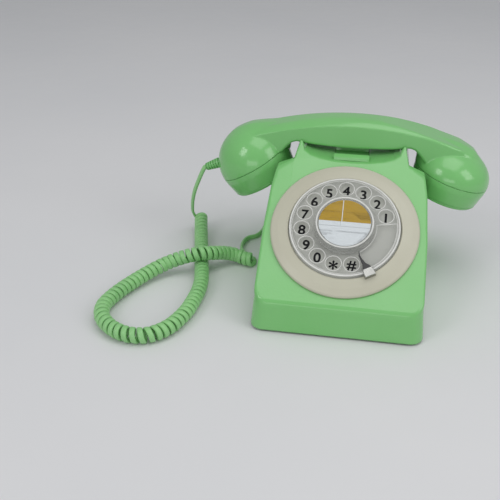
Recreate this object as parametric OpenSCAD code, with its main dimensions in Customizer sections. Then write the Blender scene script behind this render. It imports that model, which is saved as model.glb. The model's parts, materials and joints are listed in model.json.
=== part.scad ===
// Rotary dial desk telephone: case, dial, handset on its cradle, ringer, curly cord.
// Frame: +X to the right as seen from the front, -Y to the front, +Z up, millimetres.
// The origin is on the table, under the middle of the case.

/* [Body] */
// Width of the case at its lower edge
case_w = 132; // [128:1:136]
// Depth of the case
case_d = 204; // [200:1:208]
// Wall of the moulded case
wall = 2.6; // [2:0.2:3]

/* [Dial] */
// Outer radius of the dial bezel
bezel_r = 57.2; // [56:0.2:58]
// Radius of the clear finger wheel
wheel_r = 42.7; // [42.3:0.1:42.9]
// Radius of the circle through the finger holes
hole_ring_r = 33; // [32.6:0.1:33.4]
// Radius of one finger hole
finger_hole_r = 5.8; // [5.4:0.1:6]

/* [Handset] */
// Radius of the domed ends
dome_r = 32.3; // [31.5:0.1:32.5]
// Width of the grip from front to back
grip_w = 34; // [32:1:34]
// Tilt of the mouthpiece cap towards the middle
mouth_tilt = 32; // [28:1:34]
// Tilt of the earpiece cap towards the middle
ear_tilt = 17; // [15:1:20]

/* [Cord] */
// Outer diameter of the curly part
coil_d = 12; // [10:0.5:12]
// Diameter of the straight tails
tail_d = 4.4; // [4:0.2:4.6]

/* [Hidden] */

$fn = 96;
eps = 0.01;
// Height of the case's lower edge above the table
foot_h = 1.5;
// Slope of the dial face above the horizontal
face_angle = 36;
// Fold between the upright band and the dial face: depth from the front, height
fold_y = -case_d / 2 + 1.7;
fold_z = 25.5;
// Distances up the face from the fold
dial_v = 66.7;
horn_v = 148;
crest_v = 130;
// Half widths of the face at its fold, shoulders and neck, and of the cradle's horns
fold_x = case_w / 2 - 2.2;
shoulder_x = case_w / 2 - 6.5;
neck_x = 47;
horn_x = 43.4;
// Radius of the case's upright corners
corner_r = 11;
// Height of the cradle's channel floor, and of the saddles that carry the grip
channel_z = 101.3;
saddle_z = 108.6;
// Handset: its mid plane, its lowest grip point, and the centres of its ends
grip_y = 39.5;
grip_low_z = 106.6;
end_x = 84.5;
end_z = 84.5;
// Height of the ear end's dome above its rim, which is flatter than the mouth end's
ear_dome_h = 24;
cap_h = 20;
cap_rim_r = dome_r - 2.6;
// Radius of the dial opening in the face, and of the mechanism behind it
opening_r = 53.8;
plate_r = 43.4;
// Teeth are cut on module 1: the dial gear's and the governor pinion's
gear_teeth = 36;
pinion_teeth = 12;
governor_x = (gear_teeth + pinion_teeth) / 2 + 0.3;
stop_angle = -60;
// Angle of the first finger hole, and from each hole to the next
hole_start = 20;
hole_step = 24;
// Heights along the dial's axis, measured from the face
back_z = -21.6;
cam_z = -19;
gear_z = -15.4;
gear_t = 3;
rotor_z = -7.4;
frame_z = -1.4;
plate_z = 2.6;
wheel_z = 5.4;
label_z = 12.4;
// Radii of the dial's shaft and of the governor's, and the gap they turn in
shaft_r = 3;
governor_r = 1.5;
running_gap = 0.05;
// Hook bar: its depth, its two guide rods, and the heights of its guide and flange
hook_y = 28.3;
rod_x = 11;
guide_z = 80;
guide_t = 4;
flange_z = 92;
// Underside of the ringer plate, its gongs, its magnet and the clapper's swing centre
ringer_z = 5;
ringer_top = ringer_z + 1.6;
gong_x = 28;
gong_y = 48;
gong_r = 24;
gong_top = 22;
magnet_y = -4;
magnet_z = 15;
clapper_y = 12;
clapper_z = 10;
// Fixings in the base, and the connectors in the rear wall
screw_x = 50;
screw_y = 88;
board_z = 7;
jack_x = 30;
jack_z = 8;
gland_x = -45;
gland_z = 14;

function face_point(v) = [fold_y + v * cos(face_angle), fold_z + v * sin(face_angle)];
function face_depth(z) = fold_y + (z - fold_z) / tan(face_angle);
function circle_point(c, r, a) = c + r * [cos(a), sin(a)];
function edge_dir(a, b) = (b - a) / norm(b - a);
function inward(d) = [-d.y, d.x];
function wrap(p, i) = p[(i + len(p)) % len(p)];
// Moves each edge of an anticlockwise outline inward by t
function inset(p, t) = [
    for (i = [0 : len(p) - 1])
        let (
            n1 = inward(edge_dir(wrap(p, i - 1), p[i])),
            n2 = inward(edge_dir(p[i], wrap(p, i + 1)))
        )
        p[i] + (n1 + n2) * t / (1 + n1 * n2)
];
function mirror_x(p) = [for (i = [len(p) - 1 : -1 : 0]) [-p[i].x, p[i].y]];

// ---- sweeping a round tube along a smooth route ----
function cross_ratio(p, i, t) =
    let (
        n = len(p),
        a = p[max(i - 1, 0)],
        b = p[i],
        c = p[min(i + 1, n - 1)],
        d = p[min(i + 2, n - 1)]
    )
    0.5 * (2 * b + (c - a) * t + (2 * a - 5 * b + 4 * c - d) * t * t + (3 * b - a - 3 * c + d) * t * t * t);
function smooth_route(p, steps) = concat(
    [for (i = [0 : len(p) - 2], k = [0 : steps - 1]) cross_ratio(p, i, k / steps)],
    [p[len(p) - 1]]
);
function unit(v) = v / norm(v);
function tangents(p) = [
    for (i = [0 : len(p) - 1]) unit(p[min(i + 1, len(p) - 1)] - p[max(i - 1, 0)])
];
function side_of(t, s) = unit(s - t * (s * t));
function sides(t, s0) = [
    for (i = 0, s = side_of(t[0], s0); i < len(t); i = i + 1, s = i < len(t) ? side_of(t[i], s) : s) s
];
module tube(route, d, corners, steps) {
    p = smooth_route(route, steps);
    t = tangents(p);
    s = sides(t, [0, 0, 1]);
    n = len(p);
    rings = [
        for (i = [0 : n - 1], k = [0 : corners - 1])
            let (a = 360 * (k + 0.5) / corners)
            p[i] + d / 2 * (cos(a) * s[i] + sin(a) * cross(t[i], s[i]))
    ];
    walls = [
        for (i = [0 : n - 2], k = [0 : corners - 1])
            let (a = i * corners + k, b = i * corners + (k + 1) % corners)
            [a, a + corners, b + corners, b]
    ];
    first = [for (k = [0 : corners - 1]) k];
    last = [for (k = [corners - 1 : -1 : 0]) (n - 1) * corners + k];
    polyhedron(rings, concat(walls, [first, last]), 4);
}

// Routes of the cord, from the handset round the loop to the case
tail_handset_route = [
    [-129.3, 39.5, 74.4], [-131.2, 39.7, 72.6], [-136.2, 42, 61.6], [-141.5, 46, 48], [-145, 50.5, 35],
    [-146.8, 56, 23], [-146.5, 61, 15], [-144, 63, 12.6]
];
coil_route = [
    [-140.5, 64, 12.6], [-137.6, 51, 10], [-134.3, 36, 7.4], [-130, 18, 6.1], [-126.4, 2, 6.1], [-122.6, -14, 6.1],
    [-118.8, -30, 6.1], [-115.6, -46, 6.1], [-114.4, -62, 6.1], [-115.2, -80, 6.1], [-117.5, -97, 6.1],
    [-124.5, -117, 6.1], [-136.5, -130, 6.1], [-151, -132.5, 6.1], [-166, -126.5, 6.1], [-178, -114, 6.1],
    [-183, -99, 6.1], [-181, -84, 6.1], [-176, -68.5, 6.1], [-169, -54, 6.8], [-161, -41.5, 8.2],
    [-151.5, -31.5, 10.6], [-141, -26, 13.8], [-130.5, -23.7, 17.2], [-120.6, -21, 18.7], [-112, -14.6, 16.7], [-103.5, -4.1, 12],
    [-94.4, 1.5, 8], [-87, 0, 6.3], [-80, -1.5, 6.1]
];
tail_base_route = [
    [-87.4, 2, 6], [-90.8, 9, 5], [-93.2, 18, 3], [-94.2, 28, 2.4], [-94, 39, 2.4], [-91, 47, 2.4],
    [-84.3, 52.8, 2.4], [-80.5, 64, 2.4], [-79, 84, 2.4], [-76, 102, 2.4], [-70, 115, 3], [-60, 123, 6],
    [-50, 122.5, 11], [-45.6, 118, 13.6], [-45, 113, 14]
];

// ---- case ----
// Side view of the wedge, then of the cradle tower, each as [depth, height]
function wedge_outline(low) = [
    [-case_d / 2, low],
    [case_d / 2, low],
    [case_d / 2 - 2, 42],
    [case_d / 2 - 4, 46.5],
    [case_d / 2 - 8, 50],
    [17, 65],
    [13.4, 68],
    [9, 102.6],
    face_point(crest_v + 1),
    face_point(3),
    face_point(0) + [0.2, -0.6],
    [fold_y - 0.5, fold_z - 4]
];
tower_outline = [
    face_point(90),
    [56, 40],
    [60, 62],
    [60, saddle_z],
    [face_depth(saddle_z), saddle_z]
];
front_horn = [[face_depth(107), 107], [22.2, 107], [21.6, 112.6], face_point(horn_v)];
rear_horn = [[56.8, 107], [60, 107], [60, 111.4], [59.4, 112.4], [57.4, 112.4]];
// Front view of the whole case as [width, height]
function right_side(low) = [
    [case_w / 2, low],
    [fold_x, fold_z],
    [fold_x + 0.4, 60],
    [shoulder_x + 3, 85],
    [shoulder_x + 0.9, 94.2],
    [shoulder_x - 0.3, 96.2],
    [neck_x, 101.4],
    [46, 103.4],
    [45.2, 106.4],
    [44, 110],
    [horn_x, 114]
];
function front_outline(low) = concat(right_side(low), mirror_x(right_side(low)));
// Scoop between the horns: the channel that the grip lies in
right_scoop = [[13.6, channel_z + 0.3], [26, channel_z + 1.6], [34, 104.6], [39, 107], [41.6, 112], [42.4, 120]];
scoop_outline = concat([[0, channel_z]], right_scoop, mirror_x(right_scoop));
// Plan view of the case, with its upright corners rounded
function plan_outline(r) = [
    for (c = [[1, 1, 0], [-1, 1, 90], [-1, -1, 180], [1, -1, 270]], a = [0 : 15 : 90])
        circle_point([c.x * (case_w / 2 - r), c.y * (case_d / 2 - r)], r, c.z + a)
];

// Extrudes a [depth, height] outline across the case, and a [width, height] outline along it
module across(outline, w) {
    translate([-w / 2, 0, 0]) rotate([90, 0, 90]) linear_extrude(w) polygon(outline);
}
module along(outline, y0, y1) {
    translate([0, y1, 0]) rotate([90, 0, 0]) linear_extrude(y1 - y0) polygon(outline);
}
module case_volume(t) {
    low = foot_h - 2 * t;
    intersection() {
        union() {
            across(inset(wedge_outline(low), t), case_w);
            across(inset(tower_outline, t), 2 * (neck_x - t));
            if (t == 0) {
                across(front_horn, 2 * neck_x);
                across(rear_horn, 2 * neck_x);
            }
        }
        along(inset(front_outline(low), t), -case_d / 2 - 1, case_d / 2 + 1);
        translate([0, 0, low]) linear_extrude(120) polygon(inset(plan_outline(corner_r), t));
    }
}
module in_dial_frame() {
    c = face_point(dial_v);
    translate([0, c.x, c.y]) rotate([face_angle, 0, 0]) children();
}
module corners(x, y) {
    for (sx = [-1, 1], sy = [-1, 1]) translate([sx * x, sy * y, 0]) children();
}
module pair(x) {
    for (s = [-1, 1]) translate([s * x, 0, 0]) children();
}
module disc(r, z0, z1) {
    translate([0, 0, z0]) cylinder(r = r, h = z1 - z0);
}
module block(size, at) {
    translate(at - [size.x / 2, size.y / 2, 0]) cube(size);
}

module case_shell() {
    color("lightgreen") difference() {
        case_volume(0);
        difference() {
            case_volume(wall);
            along(inset(scoop_outline, -wall), -20, 62);
            corners(screw_x, screw_y) disc(4, foot_h + 2.2, 60);
        }
        along(scoop_outline, -30, 70);
        in_dial_frame() disc(opening_r, -20, 20);
        corners(screw_x, screw_y) disc(1.3, foot_h, 18);
        block([28, 36.6, 20], [0, 28.3, 90]);
        block([13, 10, 12.4], [jack_x, case_d / 2, jack_z - 0.2]);
        translate([gland_x, case_d / 2 - 10, gland_z]) rotate([-90, 0, 0]) disc(4, 0, 12);
    }
}
module base_plate() {
    color("dimgray") {
        difference() {
            translate([0, 0, foot_h]) linear_extrude(2) polygon(inset(plan_outline(corner_r), wall + 0.6));
            corners(screw_x, screw_y) {
                disc(1.7, 0, 6);
                disc(3.2, 0, foot_h + 1.2);
            }
        }
        board_corners() disc(2.5, foot_h + 2 - eps, board_z);
        translate([0, gong_y, 0]) corners(10, 36) disc(2.5, foot_h + 2 - eps, ringer_z);
    }
}
module rubber_feet() {
    color("black") corners(46, 74) disc(7, 0, foot_h);
}
module case_screws() {
    color("silver") corners(screw_x, screw_y) {
        disc(2.9, foot_h + 0.1, foot_h + 1.2);
        disc(1.3, foot_h + 1, 12);
    }
}

// ---- dial ----
module dial_bezel() {
    color("antiquewhite") in_dial_frame() rotate_extrude() polygon([
        [51, -3], [opening_r - 0.2, -3], [opening_r - 0.2, 0], [bezel_r, 0], [bezel_r, 2], [bezel_r - 1, 3],
        [47, 5.4], [44.4, 5.8], [43.6, 5.2], [43.6, 3.2], [51, 0.8]
    ]);
}
module number_plate() {
    color("lightgray") in_dial_frame() difference() {
        disc(plate_r, plate_z, plate_z + 1.6);
        disc(6.4, plate_z - 1, plate_z + 3);
    }
}
module finger_wheel() {
    color([0.9, 0.9, 0.88, 0.4]) in_dial_frame() {
        difference() {
            rotate_extrude() polygon([
                [shaft_r, label_z - 1.8], [21, label_z - 1.8], [22, wheel_z], [wheel_r, wheel_z],
                [wheel_r, wheel_z + 2.4], [wheel_r - 1, wheel_z + 2.6], [wheel_r - 1.6, wheel_z + 1.8],
                [23.4, wheel_z + 1.8], [22.4, label_z + 1.6], [20.6, label_z + 1.6],
                [20.6, label_z], [shaft_r, label_z]
            ]);
            finger_holes() disc(finger_hole_r, 0, 20);
        }
        finger_holes() difference() {
            disc(finger_hole_r + 0.8, wheel_z + 1.8 - eps, wheel_z + 2.6);
            disc(finger_hole_r, wheel_z, wheel_z + 3);
        }
    }
}
module finger_holes() {
    for (i = [0 : 11]) rotate(hole_start + hole_step * i) translate([hole_ring_r, 0, 0]) children();
}
module label_card() {
    color("goldenrod") in_dial_frame() disc(20.3, label_z, label_z + 0.4);
}
module label_cover() {
    color([1, 1, 1, 0.3]) in_dial_frame() disc(20.5, label_z + 0.4, label_z + 1.4);
}
module finger_stop() {
    color("silver") in_dial_frame() rotate(stop_angle) {
        translate([0, 0, 8.6]) linear_extrude(1) polygon([
            [46.6, -4.8], [46.6, 3.8], [41.6, 3.4], [38.6, 2.6], [36, 0.6], [32, -0.3], [28.5, -0.5],
            [23.8, 0.7], [28.4, -1.8], [32, -1.9], [36.2, -2.3], [41.4, -4.3]
        ]);
        translate([43.8, -4.8, 5.3]) cube([2.8, 8.6, 3.4]);
    }
}
module dial_frame() {
    color("silver") in_dial_frame() difference() {
        union() {
            disc(50.9, frame_z, frame_z + 2);
            disc(plate_r, frame_z + 2 - eps, plate_z);
            disc(6.2, -8, plate_z + 1.6);
        }
        disc(shaft_r + running_gap, -9, 5);
    }
}
module dial_pillars() {
    color("silver") in_dial_frame() for (a = [30, 150, 270]) rotate(a) translate([38, 0, 0])
        disc(2, back_z + 1.6, frame_z);
}
module dial_back_plate() {
    color("silver") in_dial_frame() difference() {
        disc(41, back_z, back_z + 1.6);
        disc(shaft_r + running_gap, back_z - 1, back_z + 2);
        translate([governor_x, 0, 0]) disc(governor_r + running_gap, back_z - 1, back_z + 2);
    }
}
module dial_shaft() {
    color("gray") in_dial_frame() disc(shaft_r, back_z, label_z);
}
module toothed_disc(teeth, turn) {
    tip = teeth / 2 + 0.9;
    root = teeth / 2 - 1.2;
    translate([0, 0, gear_z]) linear_extrude(gear_t) rotate(turn) polygon([
        for (i = [0 : teeth - 1], s = [[root, 0.06], [tip, 0.33], [tip, 0.57], [root, 0.84]])
            circle_point([0, 0], s[0], 360 * (i + s[1] - 0.45) / teeth)
    ]);
}
module dial_gear() {
    color("wheat") in_dial_frame() difference() {
        toothed_disc(gear_teeth, 0);
        disc(shaft_r, gear_z - 1, gear_z + gear_t + 1);
    }
}
module return_spring() {
    turns = 4;
    function spiral(r0, grow) = [for (a = [0 : 20 : 360 * turns]) circle_point([0, 0], r0 + grow * a / 360, a)];
    inner = spiral(6.6, 1.6);
    outer = spiral(7.1, 1.6);
    color("gray") in_dial_frame() translate([0, 0, -11.8]) linear_extrude(3)
        polygon(concat(outer, [for (i = [len(inner) - 1 : -1 : 0]) inner[i]]));
}
module at_governor() {
    in_dial_frame() translate([governor_x, 0, 0]) children();
}
module governor_shaft() {
    color("gray") at_governor() disc(governor_r, back_z, frame_z - 0.4);
}
module governor_pinion() {
    color("wheat") at_governor() difference() {
        toothed_disc(pinion_teeth, 180 + 180 / pinion_teeth);
        disc(governor_r, gear_z - 1, gear_z + gear_t + 1);
    }
}
module pulse_cam() {
    color("dimgray") at_governor() difference() {
        intersection() {
            disc(4.4, cam_z, cam_z + 2);
            block([9, 5.6, 4], [0, 0, cam_z - 1]);
        }
        disc(governor_r, cam_z - 1, cam_z + 3);
    }
}
module governor_rotor() {
    color("wheat") at_governor() difference() {
        union() {
            disc(2.6, rotor_z, rotor_z + 3.8);
            block([11, 1.6, 2.4], [0, 0, rotor_z + 1]);
            pair(5.4) disc(1.6, rotor_z, rotor_z + 3.8);
        }
        disc(governor_r, rotor_z - 1, rotor_z + 5);
    }
}
module governor_cup() {
    color("silver") at_governor() difference() {
        disc(9.4, rotor_z - 1.2, frame_z);
        disc(8.2, rotor_z - 2, frame_z - 1.6);
        disc(governor_r + running_gap, frame_z - 2, frame_z + 1);
    }
}
module pulse_contacts() {
    color("goldenrod") in_dial_frame() translate([governor_x, -12.5, 0]) {
        block([8, 4, 8], [0, -2, cam_z - 1]);
        for (z = [cam_z + 0.2, cam_z + 2.6]) block([1.6, 8.4, 0.4], [0, 3.4, z]);
    }
}

// ---- hook switch ----
module hook_bar() {
    color("lightgreen") {
        block([27, 36, 2.6], [0, hook_y, 98.4]);
        block([27, 6, 3], [0, hook_y - 15, 100.6]);
        block([24, 22, 5.3], [0, hook_y + 5.7, 101 - eps]);
        block([32, 40, 2], [0, hook_y, flange_z]);
        block([24, 30, 4.5], [0, hook_y, flange_z + 2 - eps]);
        hook_rods() disc(2, guide_z - 4, flange_z + eps);
    }
}
module hook_rods() {
    translate([0, hook_y, 0]) pair(rod_x) children();
}
module hook_spring() {
    color("gray") hook_rods() difference() {
        disc(3.6, guide_z + guide_t, flange_z);
        disc(2.8, guide_z, flange_z + 1);
    }
}
module hook_guide() {
    color("dimgray") difference() {
        block([2 * (neck_x - wall), 14, guide_t], [0, hook_y, guide_z]);
        hook_rods() disc(2.3, guide_z - 1, guide_z + guide_t + 1);
    }
}
module hook_switch() {
    color("black") {
        block([12, 8, 6], [0, hook_y, guide_z + guide_t]);
        translate([0, hook_y, 0]) disc(1.5, flange_z - 2 - eps, flange_z - 0.3);
    }
}

// ---- ringer ----
module gong(s) {
    translate([s * gong_x, gong_y, 0]) rotate_extrude() polygon([
        [2, gong_top], [10, gong_top - 0.4], [18, gong_top - 3.6], [gong_r - 1.4, gong_top - 9],
        [gong_r, gong_top - 14], [gong_r - 1.4, gong_top - 14], [gong_r - 2.6, gong_top - 9.6],
        [17.2, gong_top - 4.9], [9.6, gong_top - 2], [4, gong_top - 1.6], [2, gong_top - 1.6]
    ]);
}
module gong_left() { color("gold") gong(-1); }
module gong_right() { color("gold") gong(1); }
module gong_posts() {
    color("silver") translate([0, gong_y, 0]) pair(gong_x) disc(3, ringer_top, gong_top - 1.6);
}
module gong_screws() {
    color("gray") translate([0, gong_y, 0]) pair(gong_x) {
        disc(1.9, gong_top - 1.6, gong_top);
        disc(4, gong_top, gong_top + 1.6);
    }
}
module ringer_plate() {
    color("silver") block([70, 80, ringer_top - ringer_z], [0, gong_y, ringer_z]);
}
module ringer_coil() {
    color("chocolate") translate([0, magnet_y, magnet_z]) rotate([0, 90, 0]) difference() {
        union() {
            disc(6.4, -12, 12);
            for (z = [-13, 12]) disc(7.8, z, z + 1);
        }
        disc(3, -14, 14);
    }
}
module ringer_yoke() {
    color("gray") {
        translate([0, magnet_y, magnet_z]) rotate([0, 90, 0]) disc(3, -17, 17);
        pair(18.3) block([2.6, 14, 15.4], [0, magnet_y + 2, foot_h + 2]);
    }
}
module clapper_pin() {
    color("gray") translate([0, clapper_y, 0]) disc(1.5, ringer_top, 18);
}
module clapper() {
    color("silver") {
        translate([0, clapper_y, 0]) difference() {
            disc(3.4, clapper_z - 2, clapper_z + 2);
            disc(1.5 + running_gap, clapper_z - 3, clapper_z + 3);
        }
        translate([0, clapper_y + 3.2, clapper_z]) rotate([-90, 0, 0]) disc(0.9, 0, 30);
        translate([0, clapper_y + 35, clapper_z]) sphere(2.4);
    }
}

// ---- circuit board and connectors ----
module board_corners() {
    translate([0, -79, 0]) corners(36, 11) children();
}
module circuit_board() {
    color("darkgreen") block([84, 28, 1.6], [0, -79, board_z]);
}
module board_screws() {
    color("silver") board_corners() disc(2.2, board_z + 1.6, board_z + 3);
}
module board_parts() {
    color("dimgray") translate([0, 0, board_z + 1.6]) {
        block([16, 14, 12], [-18, -80, 0]);
        for (x = [0, 9, 18]) translate([x, -84, 0]) disc(3, 0, 8.4);
        block([18, 7, 3], [8, -73, 0]);
    }
}
module line_jack() {
    color("black") difference() {
        block([12.4, 17.4, 12], [jack_x, case_d / 2 - 9.2, jack_z]);
        block([9.4, 12, 7], [jack_x, case_d / 2 - 4, jack_z + 2.2]);
    }
}
module base_gland() {
    color("lightgreen") translate([gland_x, case_d / 2, gland_z]) rotate([-90, 0, 0]) {
        disc(6, -5.6, -3.8);
        disc(4, -3.8 - eps, 0);
        disc(5, -0.3, 2.4);
        disc(3.6, 2.4 - eps, 11);
    }
}

// ---- handset ----
// Front view of the grip: its underside, and its top towards the ear and the mouth, all from the middle out
grip_under = [
    [6, grip_low_z], [15, grip_low_z + 0.4], [33, 108], [47, 109.8], [51, 108.6], [55, 104.6], [60, 98], [66, 90],
    [100, 90]
];
grip_top_ear = [[20, 129.6], [35, 127], [50, 123.6], [64, 119.6], [76, 115.6], [88, 111], [98, 104]];
grip_top_mouth = [[0, 130.6], [20, 129.8], [42, 126.8], [60, 122.8], [75, 119], [88, 114.5], [98, 106]];
grip_outline = concat(
    grip_under,
    [for (i = [len(grip_top_ear) - 1 : -1 : 0]) grip_top_ear[i]],
    [for (q = grip_top_mouth) [-q.x, q.y]],
    mirror_x(grip_under)
);
// The grip's upper edges follow an arc of this radius, and its top is crowned above them
arch_r = 267;
arch_x = 1.3;
arch_z = 126;
crown = 4.6;

module crowned_arch(w, drop) {
    h = w / 2;
    r = arch_r - drop;
    translate([arch_x, grip_y, arch_z - arch_r]) rotate([90, 0, 0]) rotate(67) rotate_extrude(angle = 46, $fn = 360)
        polygon([
            [arch_r - 60, -h], [r, -h], [r + crown * 0.5, -h * 0.8], [r + crown * 0.84, -h * 0.45], [r + crown, 0],
            [r + crown * 0.84, h * 0.45], [r + crown * 0.5, h * 0.8], [r, h], [arch_r - 60, h]
        ]);
}
// Puts its children at one end of the handset, with -Z out through the cap
module at_end(s, tilt) {
    translate([s * end_x, grip_y, end_z]) rotate([0, s * tilt, 0]) children();
}
module grip_body(t) {
    intersection() {
        along(inset(grip_outline, t), grip_y - grip_w / 2 + t, grip_y + grip_w / 2 - t);
        crowned_arch(grip_w - 2 * t, t);
    }
}
// A dome over an end's rim, carried on 1 mm below it
module dome(r, h) {
    rotate_extrude() polygon(concat([[0, -1], [r, -1]], [for (a = [0 : 6 : 90]) [r * cos(a), h * sin(a)]]));
}
module handset_form(t) {
    grip_body(t);
    at_end(-1, mouth_tilt) dome(dome_r - t, dome_r - t);
    at_end(1, ear_tilt) dome(dome_r - t, ear_dome_h - t);
}
module handset_shell() {
    color("lightgreen") difference() {
        handset_form(0);
        handset_form(3);
        for (e = [[-1, mouth_tilt], [1, ear_tilt]]) at_end(e[0], e[1]) disc(dome_r + 1, -40, 0);
        gland_place() disc(3.4, -6, 6);
    }
}
module end_cap(s, tilt) {
    at_end(s, tilt) difference() {
        rotate_extrude() polygon([
            [0, -cap_h], [cap_rim_r - 4, -cap_h], [cap_rim_r - 1.4, -cap_h + 1], [cap_rim_r, -cap_h + 3.4],
            [dome_r - 0.4, -5], [dome_r, -0.1], [dome_r - 3.2, -0.1], [dome_r - 3.6, -5],
            [cap_rim_r - 3, -cap_h + 4], [cap_rim_r - 5, -cap_h + 3], [0, -cap_h + 3]
        ]);
        disc(1.2, -cap_h - 1, 0);
        for (a = [0 : 60 : 300]) rotate(a) translate([7, 0, 0]) disc(1.2, -cap_h - 1, 0);
    }
}
module mouth_cap() { color("lightgreen") end_cap(-1, mouth_tilt); }
module ear_cap() { color("lightgreen") end_cap(1, ear_tilt); }
module transmitter() { color("silver") at_end(-1, mouth_tilt) disc(20, -cap_h + 3, -6); }
module receiver() { color("silver") at_end(1, ear_tilt) disc(22, -cap_h + 3, -5); }
module grip_weight() { color("gray") block([60, 20, 6], [0, grip_y, grip_low_z + 4.4]); }
// Boot at the mouthpiece end: +Z points out of the dome along the cord
module gland_place() {
    translate([-117, grip_y, 79.6]) rotate([0, -113, 0]) children();
}
module handset_gland() {
    color("lightgreen") gland_place() {
        disc(3.3, -4, 0);
        rotate_extrude() polygon(concat(
            [[0, -0.2], [4.6, -0.2]],
            [for (i = [0 : 4]) each [[4.6 - 0.25 * i, 2.4 * i + 1.4], [3.4 - 0.2 * i, 2.4 * i + 1.5],
                [3.4 - 0.2 * i, 2.4 * i + 2.3], [4.4 - 0.25 * i, 2.4 * i + 2.4]]],
            [[3, 12.6], [0, 12.6]]
        ));
    }
}

// ---- cord ----
module cord_tail_handset() { color("lightgreen") tube(tail_handset_route, tail_d, 8, 4); }
module cord_coil() { color("lightgreen") tube(coil_route, coil_d, 10, 3); }
module cord_tail_base() { color("lightgreen") tube(tail_base_route, tail_d, 8, 3); }

case_shell();
base_plate();
rubber_feet();
case_screws();
dial_bezel();
number_plate();
finger_wheel();
label_card();
label_cover();
finger_stop();
dial_frame();
dial_back_plate();
dial_pillars();
dial_shaft();
dial_gear();
return_spring();
governor_shaft();
governor_pinion();
governor_rotor();
governor_cup();
pulse_cam();
pulse_contacts();
hook_bar();
hook_spring();
hook_guide();
hook_switch();
gong_left();
gong_right();
gong_posts();
gong_screws();
ringer_plate();
ringer_coil();
ringer_yoke();
clapper_pin();
clapper();
circuit_board();
board_screws();
board_parts();
line_jack();
base_gland();
handset_shell();
mouth_cap();
ear_cap();
transmitter();
receiver();
grip_weight();
handset_gland();
cord_tail_handset();
cord_coil();
cord_tail_base();
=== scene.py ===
"""Green desk telephone: a sloping case with a rotary dial, a handset on its cradle and a curly cord."""

import json
import math

import bmesh
import bpy
import numpy as np
from mathutils import Matrix, Vector


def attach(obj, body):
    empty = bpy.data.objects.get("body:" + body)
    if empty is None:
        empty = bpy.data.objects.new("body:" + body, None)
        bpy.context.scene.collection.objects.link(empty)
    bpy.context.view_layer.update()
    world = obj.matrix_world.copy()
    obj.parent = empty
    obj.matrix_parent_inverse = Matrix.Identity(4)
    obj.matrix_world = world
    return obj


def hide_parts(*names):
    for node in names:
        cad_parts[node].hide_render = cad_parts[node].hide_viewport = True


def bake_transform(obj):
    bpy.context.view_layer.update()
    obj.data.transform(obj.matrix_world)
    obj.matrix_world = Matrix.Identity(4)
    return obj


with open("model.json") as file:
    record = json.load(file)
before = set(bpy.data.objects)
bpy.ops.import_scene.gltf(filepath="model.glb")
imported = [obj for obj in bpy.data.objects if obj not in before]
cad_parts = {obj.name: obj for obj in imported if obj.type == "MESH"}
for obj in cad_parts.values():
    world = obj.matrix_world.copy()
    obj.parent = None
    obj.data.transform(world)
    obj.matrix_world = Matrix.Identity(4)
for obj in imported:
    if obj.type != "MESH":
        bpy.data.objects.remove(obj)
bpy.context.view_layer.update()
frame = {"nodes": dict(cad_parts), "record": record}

# Lengths below are in millimetres unless they say otherwise; MM turns them into metres
MM = 0.001
WALL, FOOT_H = 2.6, 1.5
FACE_ANGLE = math.radians(36)
FOLD_Y, FOLD_Z = -100.3, 25.5
GRIP_Y, GRIP_W = 39.5, 34
END_X, END_Z, DOME_R, EAR_DOME_H = 84.5, 84.5, 32.3, 24
MOUTH_TILT, EAR_TILT = 32, 17
WHEEL_Z, WHEEL_TOP, WHEEL_R, LABEL_Z = 5.4, 7.2, 42.7, 12.4
HOLE_R, HOLE_RING_R = 5.8, 33
STOP_ANGLE = math.radians(-60)
HOLE_START, HOLE_STEP = math.radians(20), math.radians(24)


def face_point(v):
    """The point at distance v up the dial face, as (depth, height)."""
    return FOLD_Y + v * math.cos(FACE_ANGLE), FOLD_Z + v * math.sin(FACE_ANGLE)


def face_depth(z):
    """Depth of the dial face at height z."""
    return FOLD_Y + (z - FOLD_Z) / math.tan(FACE_ANGLE)


DIAL_Y, DIAL_Z = face_point(66.7)
DIAL = Matrix.Translation((0, DIAL_Y, DIAL_Z)) @ Matrix.Rotation(FACE_ANGLE, 4, "X")


def handset_end(side, tilt):
    """Place of one end of the handset, with -Z out through its cap."""
    place = Matrix.Translation((side * END_X, GRIP_Y, END_Z))
    return place @ Matrix.Rotation(math.radians(side * tilt), 4, "Y")


MOUTH = handset_end(-1, MOUTH_TILT)
EAR = handset_end(1, EAR_TILT)


# ---- camera ----
CAMERA_PLACE = (11.5, -575.3, 325.7)
CAMERA_AIM = (-0.1414, 0.8711, -0.4702)
CAMERA_ROLL = 0.65


def make_camera():
    eye = Vector(CAMERA_PLACE) * MM
    forward = Vector(CAMERA_AIM).normalized()
    right = forward.cross(Vector((0, 0, 1))).normalized()
    basis = Matrix((right, right.cross(forward), -forward)).transposed()
    data = bpy.data.cameras.new("camera")
    data.lens = 54
    data.sensor_width = 36
    data.clip_end = 50
    camera = bpy.data.objects.new("camera", data)
    roll = Matrix.Rotation(math.radians(CAMERA_ROLL), 3, "Z")
    camera.matrix_world = Matrix.Translation(eye) @ (basis @ roll).to_4x4()
    bpy.context.scene.collection.objects.link(camera)
    bpy.context.scene.camera = camera


make_camera()


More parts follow.
